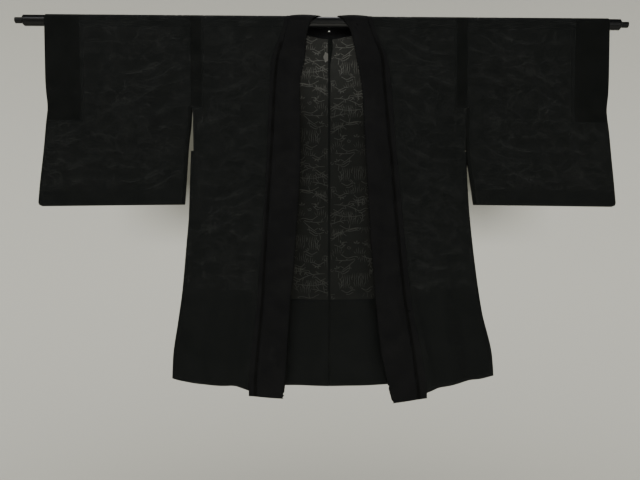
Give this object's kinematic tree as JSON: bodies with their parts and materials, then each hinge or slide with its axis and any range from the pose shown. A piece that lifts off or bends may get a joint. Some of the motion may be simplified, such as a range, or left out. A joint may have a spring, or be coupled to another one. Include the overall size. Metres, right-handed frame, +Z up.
{
  "type": "haori jacket on a hanging rod",
  "caption": "Open-fronted, unlined sheer summer jacket with square hanging sleeves and a long folded collar band, hung flat on a round level rod through its sleeves.",
  "frame": {"origin": "on the rod's axis, at the garment's centre plane", "axes": "+X along the rod, to the right as one faces the open front; -Y the front of the garment; +Z up"},
  "size_m": [1.439, 0.0582, 0.913],
  "materials": {
    "body_left": "matt sheer black gauze with a fine pale line pattern",
    "body_right": "matt sheer black gauze with a fine pale line pattern",
    "sleeve_left": "matt sheer black gauze with a fine pale line pattern",
    "sleeve_right": "matt sheer black gauze with a fine pale line pattern",
    "gusset_left": "matt sheer black gauze",
    "gusset_right": "matt sheer black gauze",
    "collar": "matt black gauze, folded in several layers",
    "rod_tube": "smooth gloss black",
    "rod_plug_left": "satin black",
    "rod_plug_right": "satin black"
  },
  "bodies": {
    "root": {"body_left": "body_left", "body_right": "body_right", "sleeve_left": "sleeve_left", "sleeve_right": "sleeve_right", "gusset_left": "gusset_left", "gusset_right": "gusset_right", "collar": "collar", "rod_tube": "rod_tube", "rod_plug_left": "rod_plug_left", "rod_plug_right": "rod_plug_right"}
  },
  "joints": []
}
